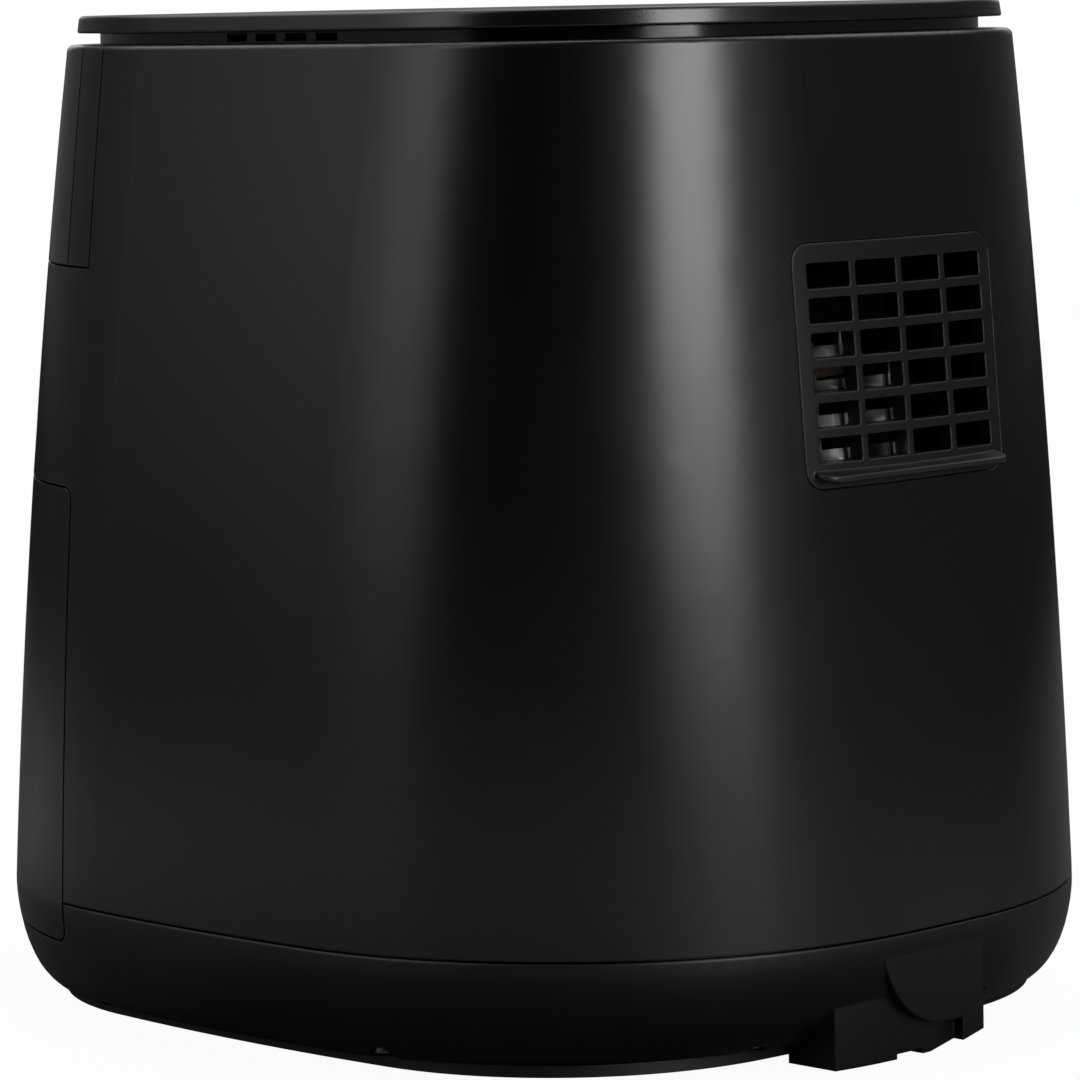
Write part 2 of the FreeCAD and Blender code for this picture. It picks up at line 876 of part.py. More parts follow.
# Drawer front, its inner wall, pan and bracket
front_space = mouth_prism(drawer_gap)
parts["drawer_front"] = outer_body.cut(inner_body).common(front_space)
liner_outer = body_form(liner_inset)
liner_inner = body_form(liner_inset + liner_wall)
liner_edge = lining_body.cut(liner_inner).common(front_space.cut(mouth_prism(drawer_gap + liner_wall)))
liner_edge = liner_edge.cut(liner_outer.cut(liner_inner))
liner = liner_outer.cut(liner_inner).common(front_space)
liner_floor_z = mouth_bottom + drawer_gap + liner_wall
liner_floor = lining_body.common(front_space).common(box(-far, far, -far, far, 0, liner_floor_z))
parts["drawer_liner"] = fuse([liner, liner_edge, liner_floor])


def pan_form(inset, z0, z1):
    """Block on the pan's plan: smaller corners at the rear than at the front."""
    rear = rounded_box(
        inset - pan_half_width,
        pan_half_width - inset,
        -pan_front + inset,
        pan_rear - inset,
        z0,
        z1,
        pan_corner_rear - inset,
    )
    front = rounded_box(
        inset - pan_half_width,
        pan_half_width - inset,
        -pan_front + inset,
        pan_rear - inset,
        z0,
        z1,
        pan_corner_front - inset,
    )
    return rear.common(box(-far, far, 0, far, z0, z1)).fuse(front.common(box(-far, far, -far, 0, z0, z1)))


pan = pan_form(0, pan_z, pan_top).cut(pan_form(pan_wall, pan_z + pan_wall, pan_top + 1))
pan_edge = pan_form(-pan_rim, pan_top - pan_rim, pan_top).cut(pan_form(pan_wall, 0, plate_top))
parts["drawer_pan"] = fuse([pan, pan_edge])
bracket_z = pan_z + (pan_height - bracket_height) / 2
bracket_space = box(-far, far, -far, -pan_front, bracket_z, bracket_z + bracket_height)
webs = [box(-bracket_half_width, bracket_half_width, -pan_front - bracket_wall, -pan_front,
            bracket_z, bracket_z + bracket_height)]
for sign in (-1, 1):
    web_x = sign * bracket_half_width
    webs.append(box(web_x - bracket_wall / 2, web_x + bracket_wall / 2, -far, -pan_front,
                    bracket_z, bracket_z + bracket_height))
pan_bracket = fuse(webs).common(bracket_space).common(body_form(liner_inset + liner_wall + seat_gap))
parts["drawer_bracket"] = pan_bracket

# Handle on the drawer front: two arms and an upright grip with a rear cover
handle_skin_y = shell_plan(handle_middle)[1]
handle_front = handle_skin_y + handle_projection
handle_low = handle_middle - handle_height / 2
handle_high = handle_middle + handle_height / 2
grip_back = handle_front - handle_grip
block = box(-handle_half_width, handle_half_width, -handle_front, 0, handle_low, handle_high)
block = block.makeFillet(
    handle_round, [edge for edge in block.Edges if edge.BoundBox.YMax < -handle_front + 0.01]
)
gap_outline = rounded_outline(
    -grip_back, far, handle_low + handle_arm, handle_high - handle_arm, handle_round,
    lambda u, v: V(-far, u, v),
)
finger_gap = Part.Face(gap_outline).extrude(X_AXIS * (2 * far))
handle = block.cut(finger_gap).cut(shell_form(-seat_gap))
cover_space = box(
    cover_margin - handle_half_width,
    handle_half_width - cover_margin,
    -grip_back - cover_depth,
    -grip_back,
    handle_low + handle_arm + handle_round,
    handle_high - handle_arm - handle_round,
)
handle = handle.cut(cover_space)
cover = box(
    cover_margin - handle_half_width + seat_gap,
    handle_half_width - cover_margin - seat_gap,
    -grip_back - cover_depth,
    -grip_back,
    handle_low + handle_arm + handle_round + seat_gap,
    handle_high - handle_arm - handle_round - seat_gap,
)
handle_screws = []
for z in (handle_low + handle_arm / 2, handle_high - handle_arm / 2):
    skin_y = -shell_plan(z)[1]
    hole = Part.makeCylinder(handle_screw + running_gap, far, V(0, skin_y - handle_screw_grip, z), Y_AXIS)
    handle = handle.cut(hole)
    parts["drawer_front"] = parts["drawer_front"].cut(hole)
    shank = Part.makeCylinder(
        handle_screw, handle_screw_grip + skin + 1, V(0, skin_y - handle_screw_grip, z), Y_AXIS
    )
    head = Part.makeCylinder(handle_screw_head, handle_screw, V(0, skin_y + skin + 1, z), Y_AXIS)
    handle_screws.append(shank.fuse(head))
parts["handle"] = handle
parts["handle_cover"] = cover
parts["handle_screws"] = group(handle_screws)

# Magnet in the drawer and its sensor on the bulkhead
magnet_y = -mouth_y - mouth_corner
parts["drawer_magnet"] = box(
    -magnet_half_width, magnet_half_width, magnet_y - magnet_length, magnet_y,
    liner_floor_z, liner_floor_z + magnet_height
)
sensor_top = floor_z - 2 * sheet
parts["drawer_sensor"] = box(
    -sensor_half_width,
    sensor_half_width,
    bay_y,
    bay_y + sensor_length,
    sensor_top - sensor_height,
    sensor_top,
)

# Crisper tray on four legs with silicone bumpers
tray_low = pan_z + pan_wall + slide_gap
tray_z = tray_low + tray_height
tray_inset = pan_wall + tray_gap
tray = pan_form(tray_inset, tray_z, tray_z + tray_thickness)
tray_edge = pan_form(tray_inset, tray_z - tray_skirt, tray_z)
tray_edge = tray_edge.cut(pan_form(tray_inset + tray_thickness, 0, plate_top))
slot_centre = (pan_rear - pan_front) / 2
for column in range(slot_columns):
    for row in range(slot_rows):
        x = (column - (slot_columns - 1) / 2) * slot_pitch_x
        y = slot_centre + (row - (slot_rows - 1) / 2) * slot_pitch_y
        tray = tray.cut(
            rounded_box(
                x - slot_length / 2,
                x + slot_length / 2,
                y - slot_width / 2,
                y + slot_width / 2,
                0,
                plate_top,
                slot_corner,
            )
        )
legs = []
bumpers = []
for x in (-pan_half_width + leg_inset, pan_half_width - leg_inset):
    for y in (-pan_front + 2 * leg_inset, pan_rear - leg_inset):
        legs.append(rod(leg_radius, tray_low + bumper_height, tray_z, x, y))
        bumpers.append(rod(bumper_radius, tray_low, tray_low + bumper_height, x, y))
parts["crisper_plate"] = fuse([tray, tray_edge] + legs)
parts["tray_bumpers"] = group(bumpers)

# Reflector dish on the cavity roof
roof_z = ceiling_z + sheet
dish_top = roof_z + dish_height
dish = rod(dish_radius, roof_z, roof_z + sheet, 0, fan_y)
dish = dish.fuse(rod(dish_radius - dish_flange, roof_z, dish_top, 0, fan_y))
dish = dish.cut(rod(dish_radius - dish_flange - sheet, 0, dish_top - sheet, 0, fan_y))
dish = dish.cut(rod(shaft_radius + dish_hole, 0, plate_top, 0, fan_y))


def on_circle(orbit, angle, z):
    """Point round the fan axis."""
    turn = math.radians(angle)
    return V(orbit * math.cos(turn), fan_y + orbit * math.sin(turn), z)


def tube_run(radius, points):
    """Round tube through points, with a ball at each bend and at both ends."""
    pieces = [Part.makeSphere(radius, point) for point in points]
    for start, end in zip(points, points[1:]):
        pieces.append(Part.makeCylinder(radius, (end - start).Length, start, end - start))
    return fuse(pieces)


def turned(shape, angle):
    """Copy of a shape turned about the fan axis."""
    copy = shape.copy()
    copy.rotate(V(0, fan_y, 0), Z_AXIS, angle)
    return copy


# Heater: one spiral tube of half turns, with both ends led up through the dish
heater_z = ceiling_z - heater_drop
turns = []
centre_x = 0.0
radius = heater_radius
side = 1
for index in range(heater_half_turns):
    start = V(centre_x + side * radius, fan_y, heater_z)
    top = V(centre_x, fan_y + side * radius, heater_z)
    end = V(centre_x - side * radius, fan_y, heater_z)
    turns.append(Part.Arc(start, top, end).toShape())
    centre_x = centre_x - side * heater_step / 2
    radius = radius - heater_step / 2
    side = -side
first = on_circle(heater_radius, 0, heater_z)
profile = Part.Wire(Part.Circle(first, Y_AXIS, heater_tube).toShape())
spiral = Part.Wire(turns).makePipeShell([profile], True, False)
terminal_top = heater_z + terminal_length
under_z = heater_z - terminal_drop
first_run = tube_run(heater_tube, [first, on_circle(heater_radius, 0, terminal_top)])
last_run = tube_run(
    heater_tube,
    [
        end,
        V(end.x, end.y, under_z),
        on_circle(heater_radius, -terminal_angle, under_z),
        on_circle(heater_radius, -terminal_angle, terminal_top),
    ],
)
parts["heater_element"] = fuse([spiral, first_run, last_run])
for angle in (0, -terminal_angle):
    place = on_circle(heater_radius, angle, 0)
    dish = dish.cut(rod(heater_tube + slide_gap, 0, plate_top, place.x, place.y))
parts["reflector"] = dish

# Brackets that carry the heater under the roof
strap_top = heater_z - heater_tube - slide_gap
strap_reach = dish_radius + dish_flange
strap = box(
    heater_radius - 3 * heater_step,
    strap_reach,
    fan_y - strap_width / 2,
    fan_y + strap_width / 2,
    strap_top - sheet,
    strap_top,
)
hanger = box(
    strap_reach - sheet, strap_reach, fan_y - strap_width / 2, fan_y + strap_width / 2, strap_top, ceiling_z
)
one_strap = strap.fuse(hanger)
parts["heater_brackets"] = group(
    turned(one_strap, strap_angle + 360 * index / strap_count) for index in range(strap_count)
)

# Stamped guard under the heater: rings joined by spokes, on three legs
guard_z = ceiling_z - guard_drop
guard_top = guard_z + 2 * sheet
guard_step = dish_radius / guard_rings
bars = []
for index in range(guard_rings):
    ring_radius = guard_step * (index + 1)
    bars.append(ring(ring_radius, ring_radius - guard_bar, guard_z, guard_top, 0, fan_y))
spoke = box(
    guard_step - guard_bar / 2,
    dish_radius - guard_bar / 2,
    fan_y - guard_bar / 2,
    fan_y + guard_bar / 2,
    guard_z,
    guard_top,
)
for index in range(guard_spokes):
    bars.append(turned(spoke, 360 * index / guard_spokes))
for index in range(guard_legs):
    place = on_circle(dish_radius - guard_bar / 2, 360 * index / guard_legs, 0)
    bars.append(rod(guard_leg, guard_z, ceiling_z, place.x, place.y))
parts["heater_guard"] = fuse(bars)

# Hot-air fan, its nut and the shaft
hot_fan_z = roof_z + fan_floor
nut_z = hot_fan_z - nut_height
cooler_z = dish_top + cooler_floor
motor_plate_z = cooler_z + cooler_blade_height + motor_gap
stator_z = motor_plate_z + motor_plate
stator_top = stator_z + stator_height
bore = shaft_radius + running_gap


def bladed_fan(z, radius, blade_height, blades, pitch):
    """Hub, disc and upright blades set at an angle."""
    top = z + blade_height + fan_disc
    pieces = [rod(fan_hub, z, top, 0, fan_y), rod(radius, z + blade_height, top, 0, fan_y)]
    blade = box(fan_hub / 2, radius, 0, fan_blade_wall, z, z + blade_height)
    blade.rotate(V(fan_hub / 2, 0, 0), Z_AXIS, pitch)
    blade.translate(V(0, fan_y, 0))
    blade = blade.common(rod(radius, z, top, 0, fan_y))
    for index in range(blades):
        pieces.append(turned(blade, 360 * index / blades))
    return fuse(pieces).cut(rod(bore, z - 1, top + 1, 0, fan_y))


parts["hot_air_fan"] = bladed_fan(hot_fan_z, fan_radius, fan_blade_height, fan_blades, blade_pitch)
parts["cooling_fan"] = bladed_fan(
    cooler_z, cooler_radius, cooler_blade_height - fan_disc, cooler_blades, blade_pitch
)
hexagon = [on_circle(nut_radius, 60 * corner, nut_z) for corner in range(7)]
nut = Part.Face(Part.makePolygon(hexagon)).extrude(Z_AXIS * nut_height)
parts["fan_nut"] = nut.cut(rod(bore, 0, plate_top, 0, fan_y))
parts["motor_shaft"] = rod(shaft_radius, nut_z - shaft_end, stator_top + shaft_end, 0, fan_y)

# Motor: plate on legs over the dish, wound stator in its cup, rotor and two bushes
motor_plate_radius = leg_orbit + 2 * motor_leg
plate_shape = rod(motor_plate_radius, motor_plate_z, stator_z, 0, fan_y)
plate_shape = plate_shape.cut(rod(bush_radius + seat_gap, 0, plate_top, 0, fan_y))
motor_legs = []
for index in range(motor_leg_count):
    place = on_circle(leg_orbit, 360 * (index + 0.5) / motor_leg_count, 0)
    motor_legs.append(rod(motor_leg, dish_top, motor_plate_z, place.x, place.y))
parts["motor_bracket"] = fuse([plate_shape] + motor_legs)
stator = ring(stator_radius, stator_radius - stator_wall, stator_z, stator_top, 0, fan_y)
stator_cap = ring(stator_radius, bush_radius + seat_gap, stator_top - motor_plate, stator_top, 0, fan_y)
parts["motor_body"] = fuse([stator, stator_cap])
bush_low = motor_plate_z - (bush_height - motor_plate) / 2
bush_high = stator_top - motor_plate - (bush_height - motor_plate) / 2
parts["motor_bushes"] = group(
    ring(bush_radius, bore, z, z + bush_height, 0, fan_y) for z in (bush_low, bush_high)
)
rotor_low = bush_low + bush_height + rotor_gap
rotor_high = bush_high - rotor_gap
parts["motor_rotor"] = ring(stator_radius - stator_wall - rotor_gap, bore, rotor_low, rotor_high, 0, fan_y)

# Sensors on the dish and under the roof
cutout = on_circle(leg_orbit, cutout_angle, dish_top)
parts["thermal_cutout"] = rod(cutout_radius, dish_top, dish_top + cutout_height, cutout.x, cutout.y)
parts["temperature_probe"] = rod(probe_radius, ceiling_z - probe_length, ceiling_z, probe_x, probe_y)

# Power board on its carrier, beside the cavity
carrier_z = base_z + skin
carrier_y0 = -pocket_side_front + boss_radius + carrier_margin
carrier_y1 = pocket_side_rear - boss_radius - carrier_margin
carrier_x0 = shield_x + sheet + carrier_margin
carrier_x1 = carrier_x0 + carrier_wall
carrier_top = carrier_z + carrier_height
parts["board_carrier"] = box(carrier_x0, carrier_x1, carrier_y0, carrier_y1, carrier_z, carrier_top)
power_z = carrier_top - power_height
power_x = carrier_x1 + board_thickness
power = box(carrier_x1, power_x, carrier_y0, carrier_y1, power_z, carrier_top)
relay = box(power_x, power_x + relay_size / 2, carrier_y0 + relay_size / 2, carrier_y0 + 3 * relay_size / 2,
            power_z + relay_size / 2, power_z + 3 * relay_size / 2)
coil = box(power_x, power_x + relay_size / 2, carrier_y1 - 2 * relay_size, carrier_y1 - relay_size,
           carrier_top - 2 * relay_size, carrier_top - relay_size)
parts["power_board"] = fuse([power, relay, coil])

# Move to the middle of the whole footprint and write one file for each piece
centre_shift = V(0, (handle_front - seam_half_depth) / 2, 0)
os.makedirs("parts", exist_ok=True)
for name, shape in parts.items():
    shape.translate(centre_shift)
    shape.exportStep("parts/" + name + ".step")
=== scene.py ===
"""Looks of the drawer air fryer: finishes for every piece, small surface detail, studio light and camera."""
import math

import bpy
from mathutils import Matrix, Vector


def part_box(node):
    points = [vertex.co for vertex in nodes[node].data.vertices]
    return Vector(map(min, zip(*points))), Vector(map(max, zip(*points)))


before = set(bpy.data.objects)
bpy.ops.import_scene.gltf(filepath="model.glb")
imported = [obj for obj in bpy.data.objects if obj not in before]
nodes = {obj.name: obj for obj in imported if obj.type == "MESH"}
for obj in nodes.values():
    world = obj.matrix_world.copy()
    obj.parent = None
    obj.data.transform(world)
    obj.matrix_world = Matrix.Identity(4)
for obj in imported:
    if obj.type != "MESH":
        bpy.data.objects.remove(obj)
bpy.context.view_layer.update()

# Camera, found from the photograph's outline: angles in degrees, lengths in metres, frame in pixels
frame_pixels = 1080
focal_pixels = 5005.29
sensor_mm = 36.0
camera_azimuth = 44.719
camera_distance = 1.52898
camera_height = 0.30246
aim_yaw = -0.039
aim_pitch = 6.217
camera_roll = -1.136
shell_low, shell_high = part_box("top_plate")
body_middle = Vector((0.0, (shell_low.y + shell_high.y) / 2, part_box("base_plate")[0].z))

# Finishes: range of a noise's factor, samples and radius of softened edges, upward slopes from rim to flat top
noise_span = (0.3, 0.7)
edge_samples = 4
fine_edge = 0.0005
rim_slope = (0.9, 0.99)


def direction(azimuth, elevation):
    """Unit vector at an azimuth from +X towards +Y and an elevation, in degrees."""
    a = math.radians(azimuth)
    e = math.radians(elevation)
    return Vector((math.cos(a) * math.cos(e), math.sin(a) * math.cos(e), math.sin(e)))


def place_camera():
    """Sets the scene's camera at the photograph's angle, distance and roll."""
    forward = -direction(camera_azimuth + aim_yaw, aim_pitch)
    right = forward.cross(Vector((0, 0, 1))).normalized()
    up = right.cross(forward)
    turn = math.radians(camera_roll)
    tilted_right = right * math.cos(turn) + up * math.sin(turn)
    tilted_up = up * math.cos(turn) - right * math.sin(turn)
    spot = body_middle + direction(camera_azimuth, 0) * camera_distance + Vector((0, 0, camera_height))
    data = bpy.data.cameras.new("photo_camera")
    data.sensor_width = sensor_mm
    data.lens = focal_pixels / frame_pixels * sensor_mm
    camera = bpy.data.objects.new("photo_camera", data)
    bpy.context.scene.collection.objects.link(camera)
    axes = Matrix((tilted_right, tilted_up, -forward)).transposed()
    camera.matrix_world = Matrix.Translation(spot) @ axes.to_4x4()
    bpy.context.scene.camera = camera


class Nodes:
    """Short way to write a material's node tree."""

    def __init__(self, tree):
        self.tree = tree

    def add(self, kind, **values):
        node = self.tree.nodes.new(kind)
        for name, value in values.items():
            setattr(node, name, value)
        return node

    def join(self, out_socket, in_socket):
        self.tree.links.new(out_socket, in_socket)


def new_material(name):
    material = bpy.data.materials.new(name)
    material.use_nodes = True
    material.node_tree.nodes.clear()
    nt = Nodes(material.node_tree)
    shader = nt.add("ShaderNodeBsdfPrincipled")
    output = nt.add("ShaderNodeOutputMaterial")
    nt.join(shader.outputs["BSDF"], output.inputs["Surface"])
    return material, nt, shader


def noise(nt, scale, detail=2.0, stretch=(1, 1, 1)):
    """Noise in the part's own metres: scale is features per metre."""
    place = nt.add("ShaderNodeTexCoord")
    mapping = nt.add("ShaderNodeMapping")
    mapping.inputs["Scale"].default_value = stretch
    texture = nt.add("ShaderNodeTexNoise")
    texture.inputs["Scale"].default_value = scale
    texture.inputs["Detail"].default_value = detail
    nt.join(place.outputs["Object"], mapping.inputs["Vector"])
    nt.join(mapping.outputs["Vector"], texture.inputs["Vector"])
    return texture.outputs["Fac"]


def ramp(nt, fac, stops):
    """Colours at positions along a factor."""
    node = nt.add("ShaderNodeValToRGB")
    elements = node.color_ramp.elements
    elements[0].position = stops[0][0]
    elements[0].color = stops[0][1]
    elements[1].position = stops[-1][0]
    elements[1].color = stops[-1][1]
    for position, colour in stops[1:-1]:
        elements.new(position).color = colour
    nt.join(fac, node.inputs["Fac"])
    return node.outputs["Color"]


def remap(nt, value, source, target=(0.0, 1.0), smooth=False):
    """Node that brings a value from one range to another and holds it at the ends."""
    node = nt.add("ShaderNodeMapRange", interpolation_type="SMOOTHSTEP" if smooth else "LINEAR")
    node.inputs["From Min"].default_value, node.inputs["From Max"].default_value = source
    node.inputs["To Min"].default_value, node.inputs["To Max"].default_value = target
    nt.join(value, node.inputs["Value"])
    return node


def spread(nt, fac, low, high):
    """Factor of a noise brought to a range of values."""
    return remap(nt, fac, noise_span, (low, high)).outputs["Result"]


def bump(nt, shader, height, depth, edge=0.0):
    """Relief of a surface, over edges that are softened to a radius."""
    node = nt.add("ShaderNodeBump")
    node.inputs["Distance"].default_value = depth
    nt.join(height, node.inputs["Height"])
    if edge:
        softened = nt.add("ShaderNodeBevel", samples=edge_samples)
        softened.inputs["Radius"].default_value = edge
        nt.join(softened.outputs["Normal"], node.inputs["Normal"])
    nt.join(node.outputs["Normal"], shader.inputs["Normal"])


def grey(value):
    return (value, value, value * 1.02, 1.0)


def cloud(nt, shader, fac, shade, share):
    """Grey that varies by a share of itself along a noise."""
    low, high = noise_span
    stops = ((low, grey(shade * (1 - share))), (high, grey(shade * (1 + share))))
    nt.join(ramp(nt, fac, stops), shader.inputs["Base Color"])


def moulded(name, shade, roughness, grain, depth, edge=fine_edge, specular=0.5):
    """Moulded plastic: fine eroded grain and slightly uneven gloss."""
    material, nt, shader = new_material(name)
    cloudy = noise(nt, 14.0, 4.0)
    cloud(nt, shader, cloudy, shade, 0.15)
    nt.join(spread(nt, cloudy, roughness * 0.94, roughness * 1.06), shader.inputs["Roughness"])
    shader.inputs["Specular IOR Level"].default_value = specular
    bump(nt, shader, noise(nt, grain, 3.0), depth, edge)
    return material


def polished(name, shade, roughness):
    """Polished plastic with a faint ripple from the mould."""
    material, nt, shader = new_material(name)
    smear = noise(nt, 30.0, 5.0)
    cloud(nt, shader, smear, shade, 0.1)
    nt.join(spread(nt, smear, roughness * 0.8, roughness * 1.2), shader.inputs["Roughness"])
    bump(nt, shader, noise(nt, 90.0, 1.0), 0.00002, fine_edge)
    return material


def rimmed(name, shade):
    """Moulded cap: a glossy rim round a matt upper face."""
    material, nt, shader = new_material(name)
    cloudy = noise(nt, 30.0, 5.0)
    cloud(nt, shader, cloudy, shade, 0.15)
    surface = nt.add("ShaderNodeNewGeometry")
    axes = nt.add("ShaderNodeSeparateXYZ")
    nt.join(surface.outputs["Normal"], axes.inputs["Vector"])
    for socket, rim, face in (("Roughness", 0.22, 0.6), ("Specular IOR Level", 0.5, 0.2)):
        upward = remap(nt, axes.outputs["Z"], rim_slope, (rim, face))
        nt.join(upward.outputs["Result"], shader.inputs[socket])
    bump(nt, shader, noise(nt, 1500.0, 3.0), 0.00002, fine_edge)
    return material


def brushed(name, colour, roughness, stretch=(1, 40, 1)):
    """Rolled sheet metal: fine streaks along one direction."""
    material, nt, shader = new_material(name)
    streaks = noise(nt, 120.0, 4.0, stretch)
    low = [channel * 0.88 for channel in colour] + [1.0]
    high = list(colour) + [1.0]
    nt.join(ramp(nt, streaks, ((0.3, low), (0.7, high))), shader.inputs["Base Color"])
    nt.join(spread(nt, streaks, roughness * 0.8, roughness * 1.2), shader.inputs["Roughness"])
    shader.inputs["Metallic"].default_value = 1.0
    bump(nt, shader, streaks, 0.00003)
    return material


def pressed(name, colour, roughness):
    """Small pressed sheet-steel piece: glossy, stained and slightly buckled."""
    material, nt, shader = new_material(name)
    stain = noise(nt, 70.0, 4.0)
    low = [channel * 0.35 for channel in colour] + [1.0]
    high = list(colour) + [1.0]
    nt.join(ramp(nt, stain, ((0.35, low), (0.65, high))), shader.inputs["Base Color"])
    nt.join(spread(nt, stain, roughness * 1.3, roughness * 0.8), shader.inputs["Roughness"])
    shader.inputs["Metallic"].default_value = 1.0
    bump(nt, shader, noise(nt, 55.0, 0.0), 0.007)
    return material


def coated(name):
    """Non-stick coating: dark grey with fine pale flecks."""
    material, nt, shader = new_material(name)
    flecks = noise(nt, 900.0, 2.0)
    stops = ((0.0, grey(0.018)), (0.62, grey(0.022)), (0.7, grey(0.12)))
    nt.join(ramp(nt, flecks, stops), shader.inputs["Base Color"])
    nt.join(spread(nt, noise(nt, 40.0, 4.0), 0.34, 0.46), shader.inputs["Roughness"])
    bump(nt, shader, noise(nt, 600.0, 3.0), 0.00006)
    return material


def rubbery(name, shade):
    """Matt rubber with a little dust."""
    material, nt, shader = new_material(name)
    dust = noise(nt, 60.0, 6.0)
    nt.join(ramp(nt, dust, ((0.35, grey(shade)), (0.75, grey(shade * 2)))), shader.inputs["Base Color"])
    nt.join(spread(nt, dust, 0.7, 0.9), shader.inputs["Roughness"])
    bump(nt, shader, noise(nt, 700.0, 3.0), 0.00008)
    return material


def tinted(name):
    """Steel tube coloured by heat."""
    material, nt, shader = new_material(name)
    stain = noise(nt, 45.0, 5.0)
    stops = ((0.3, (0.16, 0.14, 0.13, 1)), (0.5, (0.26, 0.22, 0.19, 1)), (0.7, (0.2, 0.19, 0.21, 1)))
    nt.join(ramp(nt, stain, stops), shader.inputs["Base Color"])
    nt.join(spread(nt, stain, 0.35, 0.55), shader.inputs["Roughness"])
    shader.inputs["Metallic"].default_value = 1.0
    bump(nt, shader, noise(nt, 500.0, 3.0), 0.00004)
    return material


def lacquered_board(name):
    """Circuit board: green lacquer over paler tracks."""
    material, nt, shader = new_material(name)
    place = nt.add("ShaderNodeTexCoord")
    cells = nt.add("ShaderNodeTexVoronoi", distance="MANHATTAN", feature="DISTANCE_TO_EDGE")
    cells.inputs["Scale"].default_value = 160.0
    nt.join(place.outputs["Object"], cells.inputs["Vector"])
    stops = ((0.04, (0.10, 0.36, 0.17, 1)), (0.09, (0.02, 0.14, 0.06, 1)))
    nt.join(ramp(nt, cells.outputs["Distance"], stops), shader.inputs["Base Color"])
    nt.join(spread(nt, noise(nt, 80.0), 0.22, 0.38), shader.inputs["Roughness"])
    bump(nt, shader, cells.outputs["Distance"], 0.00005)
    return material


def mottled(name, low, high, roughness, metallic=0.0):
    """Plain cast, fired or sintered stuff with a mottled colour."""
    material, nt, shader = new_material(name)
    spots = noise(nt, 220.0, 5.0)
    nt.join(ramp(nt, spots, ((0.3, (*low, 1)), (0.7, (*high, 1)))), shader.inputs["Base Color"])
    nt.join(spread(nt, spots, roughness * 0.85, roughness * 1.15), shader.inputs["Roughness"])
    shader.inputs["Metallic"].default_value = metallic
    bump(nt, shader, spots, 0.00004)
    return material


def dress():
    """Gives each node its finish."""
    satin = moulded("satin_black_plastic", 0.0015, 0.26, 2200.0, 0.000012)
    base = moulded("base_black_plastic", 0.0015, 0.36, 1800.0, 0.00002, 0.0012)
    matt = moulded("matt_black_plastic", 0.002, 0.45, 1500.0, 0.00003)
    grille = moulded("grille_black_plastic", 0.002, 0.38, 1500.0, 0.00002, 0.0008)
    duct = moulded("duct_black_plastic", 0.001, 0.7, 900.0, 0.00005, 0.0003, 0.05)
    tabs = pressed("pressed_steel_tabs", (0.5, 0.5, 0.49), 0.2)
    gloss = polished("polished_black_plastic", 0.002, 0.13)
    cap = rimmed("cap_black_plastic", 0.003)
    dark = moulded("dark_grey_plastic", 0.03, 0.5, 1500.0, 0.00004)
    steel = brushed("bright_sheet_steel", (0.6, 0.6, 0.59), 0.28)
    coat = coated("nonstick_coating")
    rubber = rubbery("black_rubber", 0.02)
    plated = brushed("dark_plated_steel", (0.2, 0.2, 0.2), 0.35, (40, 1, 1))
    board = lacquered_board("circuit_board")
    tube = tinted("heat_tinted_steel")
    lacquer = mottled("motor_lacquer", (0.10, 0.10, 0.11), (0.15, 0.15, 0.16), 0.45)
    aluminium = brushed("pressed_aluminium", (0.72, 0.72, 0.73), 0.3, (20, 20, 1))
    bronze = mottled("sintered_bronze", (0.42, 0.28, 0.12), (0.56, 0.38, 0.18), 0.4, 1.0)
    pale = mottled("fired_ceramic", (0.62, 0.6, 0.55), (0.72, 0.7, 0.65), 0.55)
    magnet = mottled("sintered_magnet", (0.07, 0.07, 0.07), (0.12, 0.12, 0.12), 0.5)
    finishes = {
        satin: ("main_shell", "panel_frame", "drawer_front", "handle", "handle_cover"),
        base: ("base_shell",),
        matt: ("base_plate",),
        grille: ("vent_grille",),
        duct: ("exhaust_duct",),
        cap: ("top_plate",),
        gloss: ("intake_ring", "panel_fascia", "display_module"),
        dark: ("drawer_bay", "drawer_liner", "drawer_rails", "board_carrier"),
        tabs: ("exhaust_baffle",),
        steel: ("inner_chamber", "heat_shield", "reflector", "heater_brackets", "motor_bracket",
                "drawer_bracket", "motor_shaft", "temperature_probe"),
        coat: ("drawer_pan", "crisper_plate"),
        rubber: ("rubber_feet", "tray_bumpers", "cord_gland"),
        plated: ("base_screws", "handle_screws", "fan_nut"),
        board: ("control_board", "power_board"),
        tube: ("heater_element", "heater_guard"),
        lacquer: ("motor_body", "motor_rotor"),
        aluminium: ("hot_air_fan", "cooling_fan"),
        bronze: ("motor_bushes",),
        pale: ("thermal_cutout", "drawer_sensor"),
        magnet: ("drawer_magnet",),
    }
    for material, names in finishes.items():
        for name in names:
            mesh = nodes[name].data
            mesh.materials.clear()
            mesh.materials.append(material)


# Studio: the lamp by azimuth, elevation, distance, width, height, roll and power
lamp_target = Vector((0, 0.02, 0.15))
lamps = {"key_softbox": (82, 21.3, 2.4, 0.95, 1.6, -7, 40.0)}

